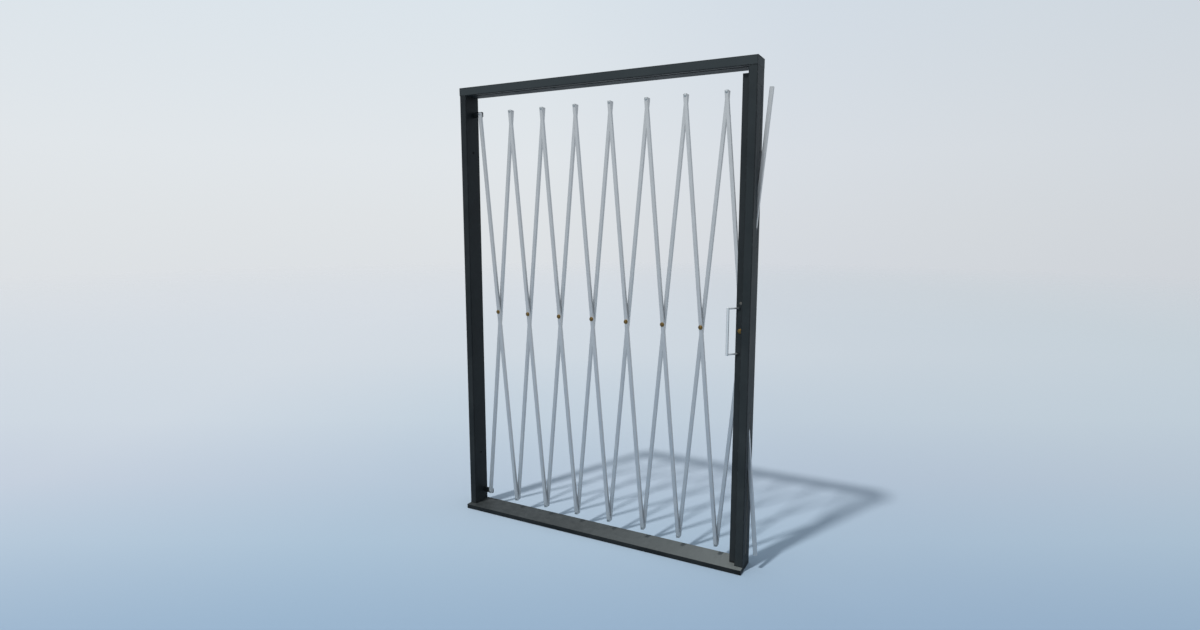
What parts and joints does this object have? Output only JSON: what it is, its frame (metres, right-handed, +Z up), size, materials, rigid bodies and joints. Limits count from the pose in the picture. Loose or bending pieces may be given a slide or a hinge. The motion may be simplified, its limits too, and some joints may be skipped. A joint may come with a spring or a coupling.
{
  "type": "folding scissor security gate in a frame",
  "caption": "Scissor-lattice folding security gate in a dark steel door frame, with brass pivots, a lead stile and a pull handle.",
  "frame": {"origin": "on the sill's flat underside, midway between the posts' outer faces and at the posts' mid-depth", "axes": "+Z up, +X from the left post to the right post, +Y away from the side with the pull handle"},
  "size_m": [1.5324, 0.129, 2.16],
  "materials": {
    "frame_paint": "satin dark grey powder coat",
    "bar_steel": "satin zinc",
    "pivot_brass": "aged",
    "rivet_steel": "zinc plated",
    "handle_steel": "satin",
    "shoe_nylon": "moulded",
    "lock_nickel": "dull nickel"
  },
  "bodies": {
    "frame": {"left_post": "frame_paint", "right_post_flanges": "frame_paint", "right_post_web": "frame_paint", "right_post_web_strips": "frame_paint", "header_walls": "frame_paint", "header_top": "frame_paint", "header_track": "frame_paint", "header_ends": "frame_paint", "sill": "frame_paint", "upper_lug": "frame_paint", "lower_lug": "frame_paint"},
    "stile": {"lead_stile": "frame_paint", "guide_pin": "rivet_steel", "bottom_shoe": "shoe_nylon", "lock_cylinder": "lock_nickel", "pull_handle": "handle_steel", "handle_bases": "frame_paint", "pivot_8": "pivot_brass"},
    "pin_1": {"pivot_1": "pivot_brass"},
    "rising_1": {"rising_bar_1": "bar_steel", "rivets_1": "rivet_steel"},
    "falling_1": {"falling_bar_1": "bar_steel", "upper_end_pin": "rivet_steel"},
    "pin_2": {"pivot_2": "pivot_brass"},
    "rising_2": {"rising_bar_2": "bar_steel", "rivets_2": "rivet_steel"},
    "falling_2": {"falling_bar_2": "bar_steel"},
    "pin_3": {"pivot_3": "pivot_brass"},
    "rising_3": {"rising_bar_3": "bar_steel", "rivets_3": "rivet_steel"},
    "falling_3": {"falling_bar_3": "bar_steel"},
    "pin_4": {"pivot_4": "pivot_brass"},
    "rising_4": {"rising_bar_4": "bar_steel", "rivets_4": "rivet_steel"},
    "falling_4": {"falling_bar_4": "bar_steel"},
    "pin_5": {"pivot_5": "pivot_brass"},
    "rising_5": {"rising_bar_5": "bar_steel", "rivets_5": "rivet_steel"},
    "falling_5": {"falling_bar_5": "bar_steel"},
    "pin_6": {"pivot_6": "pivot_brass"},
    "rising_6": {"rising_bar_6": "bar_steel", "rivets_6": "rivet_steel"},
    "falling_6": {"falling_bar_6": "bar_steel"},
    "pin_7": {"pivot_7": "pivot_brass"},
    "rising_7": {"rising_bar_7": "bar_steel", "rivets_7": "rivet_steel"},
    "falling_7": {"falling_bar_7": "bar_steel"},
    "rising_8": {"rising_bar_8": "bar_steel", "rivets_8": "rivet_steel"},
    "falling_8": {"falling_bar_8": "bar_steel"}
  },
  "joints": [
    {"name": "gate_slide", "type": "slide", "parent": "frame", "child": "stile", "axis": [-1, 0, 0], "range_m": [0, 1.062]},
    {"name": "pivot_slide_1", "type": "slide", "parent": "frame", "child": "pin_1", "axis": [-1, 0, 0], "range_m": [0, 0.0708]},
    {"name": "rising_turn_1", "type": "hinge", "parent": "pin_1", "child": "rising_1", "pos_m": [-0.5642, 0, 1.056], "axis": [0, 1, 0], "range_deg": [-4.13, 0]},
    {"name": "falling_turn_1", "type": "hinge", "parent": "pin_1", "child": "falling_1", "pos_m": [-0.5642, 0, 1.056], "axis": [0, 1, 0], "range_deg": [0, 4.13]},
    {"name": "pivot_slide_2", "type": "slide", "parent": "frame", "child": "pin_2", "axis": [-1, 0, 0], "range_m": [0, 0.2124]},
    {"name": "rising_turn_2", "type": "hinge", "parent": "pin_2", "child": "rising_2", "pos_m": [-0.3846, 0, 1.056], "axis": [0, 1, 0], "range_deg": [-4.13, 0]},
    {"name": "falling_turn_2", "type": "hinge", "parent": "pin_2", "child": "falling_2", "pos_m": [-0.3846, 0, 1.056], "axis": [0, 1, 0], "range_deg": [0, 4.13]},
    {"name": "pivot_slide_3", "type": "slide", "parent": "frame", "child": "pin_3", "axis": [-1, 0, 0], "range_m": [0, 0.354]},
    {"name": "rising_turn_3", "type": "hinge", "parent": "pin_3", "child": "rising_3", "pos_m": [-0.205, 0, 1.056], "axis": [0, 1, 0], "range_deg": [-4.13, 0]},
    {"name": "falling_turn_3", "type": "hinge", "parent": "pin_3", "child": "falling_3", "pos_m": [-0.205, 0, 1.056], "axis": [0, 1, 0], "range_deg": [0, 4.13]},
    {"name": "pivot_slide_4", "type": "slide", "parent": "frame", "child": "pin_4", "axis": [-1, 0, 0], "range_m": [0, 0.4956]},
    {"name": "rising_turn_4", "type": "hinge", "parent": "pin_4", "child": "rising_4", "pos_m": [-0.0254, 0, 1.056], "axis": [0, 1, 0], "range_deg": [-4.13, 0]},
    {"name": "falling_turn_4", "type": "hinge", "parent": "pin_4", "child": "falling_4", "pos_m": [-0.0254, 0, 1.056], "axis": [0, 1, 0], "range_deg": [0, 4.13]},
    {"name": "pivot_slide_5", "type": "slide", "parent": "frame", "child": "pin_5", "axis": [-1, 0, 0], "range_m": [0, 0.6372]},
    {"name": "rising_turn_5", "type": "hinge", "parent": "pin_5", "child": "rising_5", "pos_m": [0.1542, 0, 1.056], "axis": [0, 1, 0], "range_deg": [-4.13, 0]},
    {"name": "falling_turn_5", "type": "hinge", "parent": "pin_5", "child": "falling_5", "pos_m": [0.1542, 0, 1.056], "axis": [0, 1, 0], "range_deg": [0, 4.13]},
    {"name": "pivot_slide_6", "type": "slide", "parent": "frame", "child": "pin_6", "axis": [-1, 0, 0], "range_m": [0, 0.7788]},
    {"name": "rising_turn_6", "type": "hinge", "parent": "pin_6", "child": "rising_6", "pos_m": [0.3338, 0, 1.056], "axis": [0, 1, 0], "range_deg": [-4.13, 0]},
    {"name": "falling_turn_6", "type": "hinge", "parent": "pin_6", "child": "falling_6", "pos_m": [0.3338, 0, 1.056], "axis": [0, 1, 0], "range_deg": [0, 4.13]},
    {"name": "pivot_slide_7", "type": "slide", "parent": "frame", "child": "pin_7", "axis": [-1, 0, 0], "range_m": [0, 0.9204]},
    {"name": "rising_turn_7", "type": "hinge", "parent": "pin_7", "child": "rising_7", "pos_m": [0.5134, 0, 1.056], "axis": [0, 1, 0], "range_deg": [-4.13, 0]},
    {"name": "falling_turn_7", "type": "hinge", "parent": "pin_7", "child": "falling_7", "pos_m": [0.5134, 0, 1.056], "axis": [0, 1, 0], "range_deg": [0, 4.13]},
    {"name": "rising_turn_8", "type": "hinge", "parent": "stile", "child": "rising_8", "pos_m": [0.693, 0, 1.056], "axis": [0, 1, 0], "range_deg": [-4.13, 0]},
    {"name": "falling_turn_8", "type": "hinge", "parent": "stile", "child": "falling_8", "pos_m": [0.693, 0, 1.056], "axis": [0, 1, 0], "range_deg": [0, 4.13]}
  ],
  "couplings": [
    {"joint": "pivot_slide_1", "follows": "gate_slide", "ratio": 0.066667},
    {"joint": "rising_turn_1", "follows": "gate_slide", "rad_per_m": -0.067931},
    {"joint": "falling_turn_1", "follows": "gate_slide", "rad_per_m": 0.067931},
    {"joint": "pivot_slide_2", "follows": "gate_slide", "ratio": 0.2},
    {"joint": "rising_turn_2", "follows": "gate_slide", "rad_per_m": -0.067931},
    {"joint": "falling_turn_2", "follows": "gate_slide", "rad_per_m": 0.067931},
    {"joint": "pivot_slide_3", "follows": "gate_slide", "ratio": 0.33333},
    {"joint": "rising_turn_3", "follows": "gate_slide", "rad_per_m": -0.067931},
    {"joint": "falling_turn_3", "follows": "gate_slide", "rad_per_m": 0.067931},
    {"joint": "pivot_slide_4", "follows": "gate_slide", "ratio": 0.46667},
    {"joint": "rising_turn_4", "follows": "gate_slide", "rad_per_m": -0.067931},
    {"joint": "falling_turn_4", "follows": "gate_slide", "rad_per_m": 0.067931},
    {"joint": "pivot_slide_5", "follows": "gate_slide", "ratio": 0.6},
    {"joint": "rising_turn_5", "follows": "gate_slide", "rad_per_m": -0.067931},
    {"joint": "falling_turn_5", "follows": "gate_slide", "rad_per_m": 0.067931},
    {"joint": "pivot_slide_6", "follows": "gate_slide", "ratio": 0.73333},
    {"joint": "rising_turn_6", "follows": "gate_slide", "rad_per_m": -0.067931},
    {"joint": "falling_turn_6", "follows": "gate_slide", "rad_per_m": 0.067931},
    {"joint": "pivot_slide_7", "follows": "gate_slide", "ratio": 0.86667},
    {"joint": "rising_turn_7", "follows": "gate_slide", "rad_per_m": -0.067931},
    {"joint": "falling_turn_7", "follows": "gate_slide", "rad_per_m": 0.067931},
    {"joint": "rising_turn_8", "follows": "gate_slide", "rad_per_m": -0.067931},
    {"joint": "falling_turn_8", "follows": "gate_slide", "rad_per_m": 0.067931}
  ]
}
